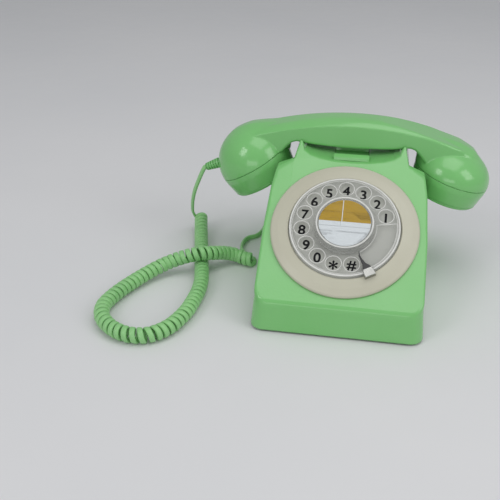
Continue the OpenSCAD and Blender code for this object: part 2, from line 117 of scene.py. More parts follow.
# ---- materials ----
class Shader:
    """A principled material and short ways to feed its sockets from noise."""

    def __init__(self, name):
        self.material = bpy.data.materials.new(name)
        self.material.use_nodes = True
        self.tree = self.material.node_tree
        self.surface = self.tree.nodes["Principled BSDF"]
        self.place = self.add("ShaderNodeTexCoord").outputs["Object"]

    def add(self, kind, **settings):
        node = self.tree.nodes.new(kind)
        for key, value in settings.items():
            setattr(node, key, value)
        return node

    def feed(self, value, socket):
        if isinstance(value, bpy.types.NodeSocket):
            self.tree.links.new(value, socket)
        else:
            socket.default_value = value

    def stretched(self, scale):
        node = self.add("ShaderNodeMapping")
        self.feed(self.place, node.inputs["Vector"])
        node.inputs["Scale"].default_value = scale
        return node.outputs["Vector"]

    def ramp(self, value, low, high, to_low=0.0, to_high=1.0):
        node = self.add("ShaderNodeMapRange")
        for number, given in enumerate((value, low, high, to_low, to_high)):
            self.feed(given, node.inputs[number])
        return node.outputs[0]

    def noise(self, scale, low=0.35, high=0.65, detail=3.0, vector=None):
        """Noise with features of 1/scale metres, spread from 0 to 1."""
        node = self.add("ShaderNodeTexNoise")
        self.feed(vector or self.place, node.inputs["Vector"])
        node.inputs["Scale"].default_value = scale
        node.inputs["Detail"].default_value = detail
        return self.ramp(node.outputs["Fac"], low, high)

    def blend(self, share, first, second):
        node = self.add("ShaderNodeMix", data_type="RGBA")
        self.feed(share, node.inputs["Factor"])
        for value, socket in ((first, node.inputs[6]), (second, node.inputs[7])):
            self.feed(value if isinstance(value, bpy.types.NodeSocket) else (*value, 1), socket)
        return node.outputs[2]

    def math(self, operation, first, second=0.0):
        node = self.add("ShaderNodeMath", operation=operation)
        self.feed(first, node.inputs[0])
        self.feed(second, node.inputs[1])
        return node.outputs[0]

    def bump(self, height, distance, strength=1.0):
        node = self.add("ShaderNodeBump")
        self.feed(height, node.inputs["Height"])
        node.inputs["Distance"].default_value = distance
        node.inputs["Strength"].default_value = strength
        self.feed(node.outputs["Normal"], self.surface.inputs["Normal"])

    def finish(self, colour, roughness, **constants):
        self.feed(colour, self.surface.inputs["Base Color"])
        self.feed(roughness, self.surface.inputs["Roughness"])
        for key, value in constants.items():
            self.surface.inputs[key.replace("_", " ")].default_value = value
        return self.material


def moulded(name, colour, worn, roughness, grain=0.00004, mottle=22, **constants):
    """Moulded plastic: slow colour drift, faint marks in the gloss and a fine orange-peel surface."""
    s = Shader(name)
    drift = s.noise(mottle, 0.3, 0.7)
    specks = s.noise(900, 0.62, 0.72, 2)
    tint = s.blend(s.math("MULTIPLY", drift, 0.8), colour, worn)
    tint = s.blend(s.math("MULTIPLY", specks, 0.25), tint, worn)
    smears = s.noise(9, 0.35, 0.7, 5, s.stretched((1, 2.5, 4)))
    gloss = s.ramp(smears, 0, 1, *roughness)
    peel = s.math("ADD", s.noise(420, 0.2, 0.8, 2), s.math("MULTIPLY", s.noise(2600, 0.2, 0.8, 1), 0.35))
    s.bump(peel, grain)
    return s.finish(tint, gloss, **constants)


def metal(name, colour, tarnish, roughness, brushed=(6, 6, 220), dulled=0.35):
    """Metal with brushed lines along one direction, tarnish patches and uneven gloss."""
    s = Shader(name)
    lines = s.noise(60, 0.2, 0.8, 6, s.stretched(brushed))
    patches = s.noise(70, 0.45, 0.75, 4)
    tint = s.blend(s.math("MULTIPLY", patches, dulled), colour, tarnish)
    mixed = s.math("ADD", s.math("MULTIPLY", lines, 0.6), s.math("MULTIPLY", patches, 0.4))
    s.bump(lines, 0.00002)
    return s.finish(tint, s.ramp(mixed, 0, 1, *roughness), Metallic=1.0)


def clear_plastic(name, colour, alpha, roughness):
    s = Shader(name)
    haze = s.noise(160, 0.3, 0.75, 4)
    scratches = s.noise(500, 0.55, 0.7, 2)
    tint = s.blend(haze, colour, [c * 0.93 for c in colour])
    s.bump(scratches, 0.000003)
    return s.finish(tint, s.ramp(haze, 0, 1, *roughness), Alpha=alpha, IOR=1.3)


def winding():
    s = Shader("copper_winding")
    wires = s.add("ShaderNodeTexWave", wave_type="BANDS", bands_direction="X")
    s.feed(s.place, wires.inputs["Vector"])
    wires.inputs["Scale"].default_value = 700
    wires.inputs["Distortion"].default_value = 0.6
    tint = s.blend(wires.outputs["Fac"], (0.16, 0.05, 0.02), (0.55, 0.24, 0.1))
    s.bump(wires.outputs["Fac"], 0.00015)
    return s.finish(tint, s.noise(300, -0.6, 1.6), Metallic=0.6)


def circuit():
    s = Shader("board_laminate")
    cells = s.add("ShaderNodeTexVoronoi", feature="DISTANCE_TO_EDGE")
    s.feed(s.stretched((260, 130, 130)), cells.inputs["Vector"])
    cells.inputs["Scale"].default_value = 1
    tracks = s.ramp(cells.outputs["Distance"], 0.05, 0.12, 1, 0)
    tint = s.blend(tracks, (0.02, 0.14, 0.05), (0.06, 0.3, 0.12))
    s.bump(tracks, 0.00004)
    return s.finish(tint, s.ramp(s.noise(200), 0, 1, 0.3, 0.5))


def rubber():
    s = Shader("foot_rubber")
    dust = s.noise(240, 0.45, 0.75, 5)
    s.bump(s.noise(1500, 0.2, 0.8), 0.00008)
    return s.finish(s.blend(dust, (0.02, 0.02, 0.02), (0.09, 0.085, 0.08)), s.ramp(dust, 0, 1, 0.65, 0.9))


def cord_jacket():
    """Satin cord jacket with a fine bumpy surface and a little dust in its colour."""
    s = Shader("cord_jacket")
    drift = s.noise(35, 0.3, 0.7)
    dust = s.noise(700, 0.5, 0.75, 4)
    tint = s.blend(drift, (0.30, 0.63, 0.245), (0.25, 0.56, 0.21))
    tint = s.blend(s.math("MULTIPLY", dust, 0.3), tint, (0.36, 0.58, 0.32))
    s.bump(s.noise(1800, 0.2, 0.8, 3), 0.00006)
    return s.finish(tint, s.ramp(dust, 0, 1, 0.38, 0.55), Coat_Weight=0.15)


# How much a printed card reflects
PRINT_SHINE = 0.08
GREEN = moulded("green_plastic", (0.19, 0.53, 0.165), (0.215, 0.55, 0.19), (0.16, 0.26), Coat_Weight=0.3)
CORD = cord_jacket()
IVORY = moulded("ivory_plastic", (0.55, 0.54, 0.43), (0.51, 0.49, 0.385), (0.3, 0.42))
PLATE_GREY = moulded("plate_grey", (0.4, 0.405, 0.365), (0.375, 0.38, 0.345), (0.35, 0.5), mottle=60)
CLEAR = clear_plastic("clear_plastic", (0.82, 0.83, 0.8), 0.08, (0.1, 0.2))
# Whiter, more opaque clear plastic for the wheel's rims and the sector's raised line: a painted highlight
# standing in for the bright lines light makes along these clear edges
CLEAR_RIM_HIGHLIGHT = clear_plastic("clear_plastic_painted_highlight", (0.93, 0.93, 0.9), 0.6, (0.06, 0.15))
CLEAR_WALL = clear_plastic("clear_plastic_wall", (0.72, 0.73, 0.69), 0.3, (0.06, 0.15))
COVER = clear_plastic("label_cover_clear", (0.95, 0.96, 0.97), 0.02, (0.2, 0.3))
GOLD = moulded("label_gold", (0.43, 0.27, 0.022), (0.415, 0.26, 0.022), (0.35, 0.5), mottle=90,
               Specular_IOR_Level=PRINT_SHINE)
WHITE = moulded("label_white", (0.67, 0.71, 0.73), (0.655, 0.695, 0.715), (0.4, 0.55), mottle=90,
                Specular_IOR_Level=PRINT_SHINE)
RULE_GREY = moulded("rule_grey", (0.33, 0.36, 0.38), (0.4, 0.42, 0.44), (0.4, 0.5), mottle=90)
INK = moulded("numeral_ink", (0.006, 0.006, 0.007), (0.014, 0.014, 0.016), (0.35, 0.5), mottle=200,
              Specular_IOR_Level=0.1)
CHROME = metal("chrome_plate", (0.86, 0.87, 0.88), (0.6, 0.6, 0.58), (0.08, 0.2), (12, 12, 12), 0.25)
# A near-black copy of the chrome for the finger stop's blade: painted shade and dark reflection on a part
# that is the same chrome as the stop's foot
SHADED_CHROME = metal("chrome_painted_shade", (0.05, 0.05, 0.05), (0.03, 0.03, 0.03), (0.25, 0.4), (12, 12, 12))
DULL_CHROME = metal("dull_chrome", (0.38, 0.38, 0.36), (0.22, 0.22, 0.21), (0.22, 0.36), (12, 12, 12))
STEEL = metal("steel_sheet", (0.56, 0.57, 0.58), (0.34, 0.32, 0.3), (0.28, 0.5))
BRASS = metal("brass_sheet", (0.72, 0.52, 0.22), (0.4, 0.26, 0.1), (0.22, 0.45))
BASE_BLACK = moulded("base_plastic", (0.035, 0.036, 0.036), (0.055, 0.055, 0.053), (0.45, 0.65), 0.00008)
BLACK = moulded("black_plastic", (0.02, 0.02, 0.021), (0.035, 0.035, 0.034), (0.35, 0.5))
NYLON = moulded("nylon", (0.76, 0.72, 0.6), (0.68, 0.62, 0.48), (0.35, 0.5), mottle=60)
FINISHES = {
    "green": GREEN,
    "green_cord": CORD,
    "bezel": IVORY,
    "plate": PLATE_GREY,
    "clear": CLEAR,
    "label": GOLD,
    "chrome": CHROME,
    "steel": STEEL,
    "base": BASE_BLACK,
    "rubber": rubber(),
    "brass": BRASS,
    "nylon": NYLON,
    "winding": winding(),
    "board": circuit(),
    "black": BLACK,
}


# ---- making pieces ----
def add_piece(name, data, material, body, nodes=()):
    """Links a piece, gives it its finish and lets it ride on its body in place of CAD nodes."""
    piece = bpy.data.objects.new(name, data)
    bpy.context.scene.collection.objects.link(piece)
    data.materials.append(material)
    if body:
        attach(piece, body)
    if nodes:
        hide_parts(*nodes)
    return piece


def mesh_of(name, points, faces, place=Matrix()):
    """A smooth-shaded mesh from points in millimetres."""
    points = np.asarray(points, float)
    turned = points @ np.array(place.to_3x3()).T + np.array(place.translation)
    data = bpy.data.meshes.new(name)
    data.from_pydata((turned * MM).tolist(), [], [list(map(int, face)) for face in faces])
    data.shade_smooth()
    return data


def rounded(outline, radius, steps=4):
    """A closed outline with an arc of at most this radius at each corner."""
    points = [Vector(p) for p in outline]
    result = []
    for i, corner in enumerate(points):
        before = (points[i - 1] - corner)
        after = (points[(i + 1) % len(points)] - corner)
        turn = before.angle(after)
        reach = min(radius / math.tan(turn / 2), before.length * 0.45, after.length * 0.45)
        start = corner + before.normalized() * reach
        end = corner + after.normalized() * reach
        for k in range(steps + 1):
            t = k / steps
            result.append(start * (1 - t) ** 2 + corner * 2 * t * (1 - t) + end * t ** 2)
    return result


def lathe(name, profile, place, turns=160):
    """A solid of revolution about Z from a closed profile of (radius, height) points."""
    count = len(profile)
    angles = [2 * math.pi * k / turns for k in range(turns)]
    points = [(r * math.cos(a), r * math.sin(a), z) for a in angles for r, z in profile]
    faces = []
    for k in range(turns):
        near, far = k * count, (k + 1) % turns * count
        for i in range(count):
            j = (i + 1) % count
            faces.append((near + i, far + i, far + j, near + j))
    return mesh_of(name, points, faces, place)


def plate(name, outlines, low, high, place, edge=0.3, steps=2):
    """A flat piece between two heights from closed outlines, the inner ones holes, with rounded edges."""
    curve = bpy.data.curves.new(name, "CURVE")
    curve.dimensions = "2D"
    curve.fill_mode = "BOTH"
    curve.extrude = ((high - low) / 2 - edge) * MM
    curve.bevel_depth = edge * MM
    curve.bevel_resolution = steps
    curve.offset = -edge * MM
    for outline in outlines:
        spline = curve.splines.new("POLY")
        spline.points.add(len(outline) - 1)
        for point, (x, y) in zip(spline.points, outline):
            point.co = (x * MM, y * MM, 0, 1)
        spline.use_cyclic_u = True
    holder = bpy.data.objects.new(name, curve)
    bpy.context.scene.collection.objects.link(holder)
    seen = holder.evaluated_get(bpy.context.evaluated_depsgraph_get())
    data = bpy.data.meshes.new_from_object(seen)
    bpy.data.objects.remove(holder)
    bpy.data.curves.remove(curve)
    data.name = name
    lift = Matrix.Translation((0, 0, (high + low) / 2 * MM))
    to_metres = Matrix.Translation(place.translation * MM) @ place.to_3x3().to_4x4()
    data.transform(to_metres @ lift)
    soften(data)
    return data


def soften(data, angle=35):
    """Smooth shading with real edges kept sharp."""
    data.shade_smooth()
    data.set_sharp_from_angle(angle=math.radians(angle))


def box_plate(x0, x1, y0, y1, z0, z1):
    return plate("block", [[(x0, y0), (x1, y0), (x1, y1), (x0, y1)]], z0, z1, Matrix(), 0.3)


def joined(name, parts):
    """One mesh from several."""
    whole = bmesh.new()
    for part in parts:
        whole.from_mesh(part)
        bpy.data.meshes.remove(part)
    data = bpy.data.meshes.new(name)
    whole.to_mesh(data)
    whole.free()
    soften(data)
    return data


def circle(radius, steps=96, centre=(0, 0), start=0.0, end=2 * math.pi, closed=True):
    turns = steps if closed else steps - 1
    return [
        (centre[0] + radius * math.cos(start + (end - start) * k / turns),
         centre[1] + radius * math.sin(start + (end - start) * k / turns))
        for k in range(steps)
    ]


# ---- solids from distance fields ----
def outline_field(u, v, outline):
    """Signed distance from (u, v) to a closed outline, negative inside."""
    nearest = np.full(np.broadcast(u, v).shape, 1e9)
    inside = np.zeros(nearest.shape, bool)
    for i, (bu, bv) in enumerate(outline):
        au, av = outline[i - 1]
        eu, ev = bu - au, bv - av
        t = np.clip(((u - au) * eu + (v - av) * ev) / (eu * eu + ev * ev), 0, 1)
        nearest = np.minimum(nearest, np.hypot(u - au - t * eu, v - av - t * ev))
        if ev:
            inside ^= ((av > v) != (bv > v)) & (u < au + (v - av) * eu / ev)
    return np.where(inside, -nearest, nearest)


def round_and(a, b, radius):
    """The overlap of two fields, with a rounded edge where they meet."""
    corner = np.hypot(np.maximum(a + radius, 0), np.maximum(b + radius, 0))
    return np.minimum(-radius, np.maximum(a, b)) + corner


def round_or(a, b, radius):
    """Two fields joined, with a fillet where they meet."""
    corner = np.hypot(np.maximum(radius - a, 0), np.maximum(radius - b, 0))
    return np.maximum(radius, np.minimum(a, b)) - corner


def box_field(x, y, z, low, high):
    gaps = [np.abs(p - (a + b) / 2) - (b - a) / 2 for p, a, b in zip((x, y, z), low, high)]
    return np.maximum(np.maximum(gaps[0], gaps[1]), gaps[2])


def inward(outline, distance):
    """Moves each edge of an anticlockwise outline inward."""
    count = len(outline)
    points = [Vector(p) for p in outline]
    result = []
    for i in range(count):
        first = (points[i] - points[i - 1]).normalized()
        second = (points[(i + 1) % count] - points[i]).normalized()
        n1, n2 = Vector((-first.y, first.x)), Vector((-second.y, second.x))
        result.append(tuple(points[i] + (n1 + n2) * distance / (1 + n1.dot(n2))))
    return result


def soft_outline(u, v, outline, radius):
    """Signed distance to an anticlockwise outline with its outer corners rounded."""
    return outline_field(u, v, inward(outline, radius)) - radius


def slopes(points, field, reach=0.12):
    """Field values and gradients at points, from four samples on a tetrahedron round each."""
    corners = np.array([(1, 1, 1), (1, -1, -1), (-1, 1, -1), (-1, -1, 1)], float)
    values = [field(*(points + corner * reach).T) for corner in corners]
    gradient = sum(np.outer(value, corner) for value, corner in zip(values, corners)) / (4 * reach)
    return sum(values) / 4, gradient


def settle(points, field, step, rounds=2):
    """Moves points onto the zero surface of a field."""
    for _ in range(rounds):
        value, gradient = slopes(points, field)
        size = np.maximum((gradient ** 2).sum(1), 0.2)
        points = points - gradient * np.clip(value / size, -step / 2, step / 2)[:, None]
    return points


def surface_net(field, low, high, step):
    """Points and quads of the zero surface of a field inside a box."""
    axes = [np.arange(a - step, b + 2 * step, step) for a, b in zip(low, high)]
    shape = tuple(len(axis) for axis in axes)
    value = np.broadcast_to(field(*np.meshgrid(*axes, indexing="ij", sparse=True)), shape)
    cells = tuple(n - 1 for n in shape)
    rings, crossings = [], []
    for axis in range(3):
        u, v = (axis + 1) % 3, (axis + 2) % 3
        near = value[tuple(slice(None, -1) if k == axis else slice(None) for k in range(3))]
        far = value[tuple(slice(1, None) if k == axis else slice(None) for k in range(3))]
        at = np.argwhere((near < 0) != (far < 0))
        a, b = near[tuple(at.T)], far[tuple(at.T)]
        crossing = at.astype(float)
        crossing[:, axis] += a / (a - b)
        ring = []
        for du, dv in ((-1, -1), (0, -1), (0, 0), (-1, 0)):
            cell = at.copy()
            cell[:, u] += du
            cell[:, v] += dv
            ring.append(np.ravel_multi_index(tuple(cell.T), cells))
        ring = np.stack(ring, 1)
        ring[a > 0] = ring[a > 0][:, ::-1]
        rings.append(ring)
        crossings.append(np.repeat(crossing, 4, 0))
    rings, crossings = np.concatenate(rings), np.concatenate(crossings)
    _, corner = np.unique(rings.ravel(), return_inverse=True)
    corner = corner.ravel()
    count = np.bincount(corner)
    middle = np.stack([np.bincount(corner, crossings[:, k]) / count for k in range(3)], 1)
    return settle(middle * step + [axis[0] for axis in axes], field, step), corner.reshape(-1, 4)


def fewer_faces(data, share):
    """The mesh with flat stretches thinned out to this share of its triangles."""
    holder = bpy.data.objects.new("thinned", data)
    bpy.context.scene.collection.objects.link(holder)
    holder.modifiers.new("thin", "DECIMATE").ratio = share
    seen = holder.evaluated_get(bpy.context.evaluated_depsgraph_get())
    thinned = bpy.data.meshes.new_from_object(seen)
    thinned.name = data.name
    bpy.data.objects.remove(holder)
    bpy.data.meshes.remove(data)
    return thinned


def moulding(name, field, low, high, step, share):
    """A mesh of a distance field, thinned where it is flat, with normals from the field itself."""
    data = fewer_faces(mesh_of(name, *surface_net(field, low, high, step)), share)
    points = np.zeros(len(data.vertices) * 3)
    data.vertices.foreach_get("co", points)
    points = settle(points.reshape(-1, 3) / MM, field, step)
    data.vertices.foreach_set("co", (points * MM).ravel())
    gradient = slopes(points, field)[1]
    data.shade_smooth()
    data.normals_split_custom_set_from_vertices(
        (gradient / np.maximum(np.linalg.norm(gradient, axis=1), 1e-6)[:, None]).tolist()
    )
    data.update()
    return data


# ---- cord ----
CORD_W, CORD_T = 4.4, 2.5
COIL_R = 6.25
# How square the cord's section is, from 1 for an oval towards 0 for a square
SECTION_POWER = 0.6
TAIL_HANDSET = [
    (-129.3, 39.5, 74.4), (-131.2, 39.7, 72.6), (-136.2, 42, 61.6), (-141.5, 46, 48), (-145, 50.5, 35),
    (-146.8, 56, 23), (-146.5, 61, 15), (-144, 63, 12.6)
]
COIL = [
    (-140.5, 64, 12.6), (-137.6, 51, 10), (-134.3, 36, 7.4), (-130, 18, 6.1), (-126.4, 2, 6.1),
    (-122.6, -14, 6.1), (-118.8, -30, 6.1), (-115.6, -46, 6.1), (-114.4, -62, 6.1), (-115.2, -80, 6.1),
    (-117.5, -97, 6.1), (-124.5, -117, 6.1), (-136.5, -130, 6.1), (-151, -132.5, 6.1),
    (-166, -126.5, 6.1), (-178, -114, 6.1), (-183, -99, 6.1), (-181, -84, 6.1), (-176, -68.5, 6.1),
    (-169, -54, 6.8), (-161, -41.5, 8.2), (-151.5, -31.5, 10.6), (-141, -26, 13.8),
    (-130.5, -23.7, 17.2), (-120.6, -21, 18.7), (-112, -14.6, 16.7), (-103.5, -4.1, 12),
    (-94.4, 1.5, 8), (-87, 0, 6.3), (-80, -1.5, 6.1)
]
TAIL_BASE = [
    (-87.4, 2, 6), (-90.8, 9, 5), (-93.2, 18, 3), (-94.2, 28, 2.4), (-94, 39, 2.4), (-91, 47, 2.4),
    (-84.3, 52.8, 2.4), (-80.5, 64, 2.4), (-79, 84, 2.4), (-76, 102, 2.4), (-70, 115, 3), (-60, 123, 6),
    (-50, 122.5, 11), (-45.6, 118, 13.6), (-45, 113, 14)
]
# Where the two tails meet the first and the last turn
REACHING_COIL = (-147, 60.5, 17)
LEAVING_COIL = [(-78.6, 4.5, 1.9), (-81.5, 10.5, 2.3), (-87, 14.5, 2.4), (-92, 20.5, 2.4)]


def smooth_route(route, steps):
    """Catmull-Rom points through a route."""
    p = np.array(route, float)
    points = []
    for i in range(len(p) - 1):
        a, b, c, d = p[max(i - 1, 0)], p[i], p[i + 1], p[min(i + 2, len(p) - 1)]
        for k in range(steps):
            t = k / steps
            points.append(0.5 * (
                2 * b + (c - a) * t + (2 * a - 5 * b + 4 * c - d) * t ** 2 + (3 * b - a - 3 * c + d) * t ** 3
            ))
    return np.array(points + [p[-1]])


def resampled(points, spacing):
    """The same line with even spacing."""
    along = np.concatenate([[0], np.cumsum(np.linalg.norm(np.diff(points, axis=0), axis=1))])
    wanted = np.linspace(0, along[-1], max(2, round(along[-1] / spacing) + 1))
    return np.stack([np.interp(wanted, along, points[:, k]) for k in range(3)], 1)


def unit(v):
    return v / np.maximum(np.linalg.norm(v, axis=-1, keepdims=True), 1e-9)


def carried_sides(tangents, first):
    """Side vectors along a line that turn no more than the line does."""
    sides = []
    side = np.array(first, float)
    for tangent in tangents:
        side = unit(side - tangent * (side @ tangent))
        sides.append(side)
    return np.array(sides)


def oval_tube(name, path, thin, width, thickness, corners=12):
    """A tube with an oval section along a path; thin points across its narrow side."""
    tangents = unit(np.gradient(path, axis=0))
    thin = unit(thin - tangents * (thin * tangents).sum(1)[:, None])
    wide = np.cross(tangents, thin)
    angles = 2 * math.pi * np.arange(corners) / corners
    across = np.sign(np.cos(angles)) * np.abs(np.cos(angles)) ** SECTION_POWER * width / 2
    up = np.sign(np.sin(angles)) * np.abs(np.sin(angles)) ** SECTION_POWER * thickness / 2
    rings = path[:, None] + wide[:, None] * across[None, :, None] + thin[:, None] * up[None, :, None]
    faces = []
    for i in range(len(path) - 1):
        for k in range(corners):
            a, b = i * corners + k, i * corners + (k + 1) % corners
            faces.append((a, b, b + corners, a + corners))
    faces.append(range(corners - 1, -1, -1))
    faces.append(range((len(path) - 1) * corners, len(path) * corners))
    return mesh_of(name, rings.reshape(-1, 3), faces)


def curl(axis):
    """The path of the curled stretch round its axis, and the direction of its thin side."""
    share = np.linspace(0, 1, len(axis))
    tangents = unit(np.gradient(axis, axis=0))
    side = carried_sides(tangents, (-1, 0, 0))
    other = np.cross(tangents, side)
    pitch = np.interp(share, (0, 0.3, 0.52, 0.75, 1), (5.0, 5.3, 5.7, 5.3, 4.9))
    step = np.linalg.norm(axis[1] - axis[0])
    turn = np.cumsum(2 * math.pi / pitch) * step
    turn = turn - turn[0]
    turn += 0.25 * np.sin(turn / 7.3) + 0.15 * np.sin(turn / 3.1)
    last = math.atan2(-other[-1][2], -side[-1][2])
    turn *= (last + 2 * math.pi * round((turn[-1] - last) / (2 * math.pi))) / turn[-1]
    outward = side * np.cos(turn)[:, None] + other * np.sin(turn)[:, None]
    return axis + outward * (COIL_R - CORD_T / 2), outward


def handset_cord():
    axis = resampled(smooth_route(COIL, 12), 0.27)
    coil, outward = curl(axis)
    start = smooth_route(TAIL_HANDSET[:6] + [REACHING_COIL, coil[0], coil[16]], 10)[:-10]
    end = smooth_route([coil[-16], coil[-1]] + LEAVING_COIL + TAIL_BASE[3:], 8)[8:]
    path = np.concatenate([start[:-1], coil, end[1:]])
    path[:, 2] += np.interp(path[:, 2], (20, 60), (0.3, 0))
    before = np.repeat(outward[:1], len(start) - 1, 0)
    after = np.repeat(outward[-1:], len(end) - 1, 0)
    thin = np.concatenate([before, outward, after])
    tangents = unit(np.gradient(path, axis=0))
    first, last = len(start) - 1, len(start) - 1 + len(coil)
    thin[:first] = carried_sides(tangents[:first][::-1], outward[0])[::-1]
    thin[last:] = carried_sides(tangents[last:], outward[-1])
    turned = np.clip(np.arange(len(path) - last) / 30, 0, 1)[:, None] * math.pi / 2
    thin[last:] = thin[last:] * np.cos(turned) + np.cross(tangents[last:], thin[last:]) * np.sin(turned)
    jacket = oval_tube("handset_cord", path, thin, CORD_W, CORD_T)
    cord = add_piece("handset_cord", jacket, CORD, None,
                     ("cord_tail_handset", "cord_coil", "cord_tail_base"))
    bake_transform(cord)


handset_cord()


# ---- stage ----
def area_light(name, place, aim, size, power):
    """A rectangular light; its place, aim and size are in metres."""
    data = bpy.data.lights.new(name, "AREA")
    data.shape = "RECTANGLE"
    data.size, data.size_y = size
    data.energy = power
    light = bpy.data.objects.new(name, data)
    light.location = place
    light.rotation_mode = "QUATERNION"
    light.rotation_quaternion = (Vector(aim) - Vector(place)).to_track_quat("-Z", "Y")
    bpy.context.scene.collection.objects.link(light)


def make_stage():
    reach = 6.0
    data = bpy.data.meshes.new("floor")
    corners = [(-reach, -reach, 0), (reach, -reach, 0), (reach, reach, 0), (-reach, reach, 0)]
    data.from_pydata(corners, [], [(0, 1, 2, 3)])
    floor = bpy.data.objects.new("floor", data)
    bpy.context.scene.collection.objects.link(floor)
    s = Shader("pale_table")
    tint = s.blend(s.noise(3, 0.3, 0.7), (0.72, 0.72, 0.735), (0.75, 0.745, 0.755))
    data.materials.append(s.finish(tint, s.ramp(s.noise(40), 0, 1, 0.5, 0.6)))
    world = bpy.data.worlds.new("soft_room")
    world.use_nodes = True
    world.node_tree.nodes["Background"].inputs["Color"].default_value = (0.86, 0.88, 0.9, 1)
    world.node_tree.nodes["Background"].inputs["Strength"].default_value = 0.46
    bpy.context.scene.world = world
    bpy.context.scene.view_settings.view_transform = "Standard"
    area_light("overhead", (0.25, -0.1, 1.5), (0, 0, 0.05), (1.3, 1.0), 6.2)
    area_light("window", (-0.9, -1.0, 1.1), (0, 0, 0.08), (0.5, 0.7), 4.2)
    area_light("right_soft", (1.1, -0.5, 0.9), (0, 0, 0.08), (0.6, 0.8), 3.8)
    area_light("front_low", (-0.1, -1.5, 0.35), (0, 0, 0.08), (0.9, 0.4), 2.2)


make_stage()


# ---- case ----
WEDGE = [
    (-102.45, -6), (102.37, -6), (100, 42), (98, 46.5), (94, 50), (17, 65), (13.4, 68), (9, 102.6),
    face_point(131), face_point(3), (FOLD_Y + 0.2, FOLD_Z - 0.6), (FOLD_Y - 0.5, FOLD_Z - 4)
]
TOWER = [face_point(90), (56, 40), (60, 62), (60, 108.6), (face_depth(108.6), 108.6)]
FRONT_HORN = [(face_depth(98), 98), (22.8, 98), (21.6, 112.6), face_point(148)]
REAR_HORN = [(56.4, 98), (60, 98), (60, 111.4), (59.4, 112.4), (57.4, 112.4)]
SIDE_PROFILE = [
    (66.69, -6), (63.8, 25.5), (64.2, 60), (62.5, 85), (60.4, 94.2), (59.2, 96.2), (47, 101.4), (46, 103.4),
    (45.2, 106.4), (44, 110), (43.4, 116), (-60, 116), (-60, -6)
]
SCOOP = [
    (-60, 101.3), (0, 101.3), (13.6, 101.6), (26, 102.9), (34, 104.6), (39, 107), (41.6, 112),
    (42.4, 130), (-60, 130)
]
NECK_X = 47
# Screw bosses at (+-BOSS_X, +-BOSS_Y), and the holes for the dial and the cord
BOSS_X, BOSS_Y = 50, 88
DIAL_OPENING_R = 53.8
CORD_HOLE_X, CORD_HOLE_Z = -45, 14
EDGE_R, CORNER_R = 1.9, 12


def case_body(x, y, z):
    """The case's outer form, left open below."""
    across = np.abs(x)
    tower = np.maximum(soft_outline(y, z, TOWER, 1.2), across - NECK_X)
    horns = np.minimum(soft_outline(y, z, FRONT_HORN, 0.7), soft_outline(y, z, REAR_HORN, 0.6))
    form = round_or(soft_outline(y, z, WEDGE, EDGE_R), tower, np.interp(y, (8, 20), (0, 1.5)))
    form = np.minimum(form, np.maximum(horns, across - NECK_X))
    edge = np.interp(z, (96, 104), (EDGE_R, 0.7))
    side = across - np.interp(z, (-6, 25.5, 60, 85, 94.2), (66.69, 63.8, 64.2, 62.5, 60.4))
    end = np.abs(y) - np.interp(z, (-6, 25.5, 42), (102.45, 100.3, 100))
    plan = round_and(side, end, CORNER_R)
    form = round_and(form, np.maximum(soft_outline(across, z, SIDE_PROFILE, 2), plan), edge)
    return round_and(form, -outline_field(across, z, SCOOP), 0.8)


def case_field(x, y, z):
    """The case with its hollow inside, its screw bosses and its openings."""
    body = case_body(x, y, z)
    outer = round_and(body, FOOT_H - z, 0.6)
    from_boss = np.hypot(np.abs(x) - BOSS_X, np.abs(y) - BOSS_Y)
    bosses = from_boss - 4
    shell = np.maximum(outer, -np.maximum(body + WALL, -bosses))
    up = (y - DIAL_Y) * math.cos(FACE_ANGLE) + (z - DIAL_Z) * math.sin(FACE_ANGLE)
    out = (z - DIAL_Z) * math.cos(FACE_ANGLE) - (y - DIAL_Y) * math.sin(FACE_ANGLE)
    cuts = np.maximum(np.hypot(x, up) - DIAL_OPENING_R, np.abs(out) - 20)
    cuts = np.minimum(cuts, box_field(x, y, z, (-14, 10, 90), (14, 46.6, 112)))
    cuts = np.minimum(cuts, box_field(x, y, z, (23.5, 97, 7.8), (36.5, 107, 20.2)))
    cord_hole = np.maximum(np.hypot(x - CORD_HOLE_X, z - CORD_HOLE_Z) - 4, np.abs(y - 100) - 8)
    cuts = np.minimum(cuts, cord_hole)
    cuts = np.minimum(cuts, np.maximum(from_boss - 3.1, z - FOOT_H - 2.4))
    return np.maximum(shell, -cuts)


case_skin = moulding("case_skin", case_field, (-67, -103, 1), (67, 103, 114), 1.15, 0.42)
add_piece("case_skin", case_skin, GREEN, "base", ("case_shell",))


# ---- hook bar ----
# Outlines seen from the side, as (depth, height)
HOOK_PAD = [(10.2, 98.4), (46.4, 98.4), (46.4, 101.2), (44.6, 106.2), (34, 106.2), (33, 101.2), (10.2, 101.2)]
HOOK_LIP = [(8.4, 101.7), (14.2, 101), (14.2, 105.2), (12.8, 105.4), (8.8, 103.6)]
HOOK_FLANGE = [(8.3, 92), (48.3, 92), (48.3, 94), (43.3, 98.5), (13.3, 98.5), (8.3, 94)]
ACROSS = Matrix(((0, 0, 1, 0), (1, 0, 0, 0), (0, 1, 0, 0), (0, 0, 0, 1)))


def hook_bar():
    """The pad under the grip, with its lip, its flange and its two rods."""
    parts = [
        plate("pad", [HOOK_PAD], -13.94, 13.94, ACROSS, 0.3),
        plate("lip", [HOOK_LIP], -14.6, 14.6, ACROSS, 0.4),
        plate("flange", [HOOK_FLANGE], -12, 12, ACROSS, 0.4),
        box_plate(-16, 16, 8.3, 48.3, 92, 94)
    ]
    for x in (-11, 11):
        rod = rounded([(0.01, 76), (2, 76), (2, 92.1), (0.01, 92.1)], 0.3, 2)
        parts.append(lathe("rod", rod, Matrix.Translation((x, 28.3, 0)), 32))
    add_piece("hook_bar_moulded", joined("hook_bar_moulded", parts), GREEN, "hook", ("hook_bar",))


hook_bar()


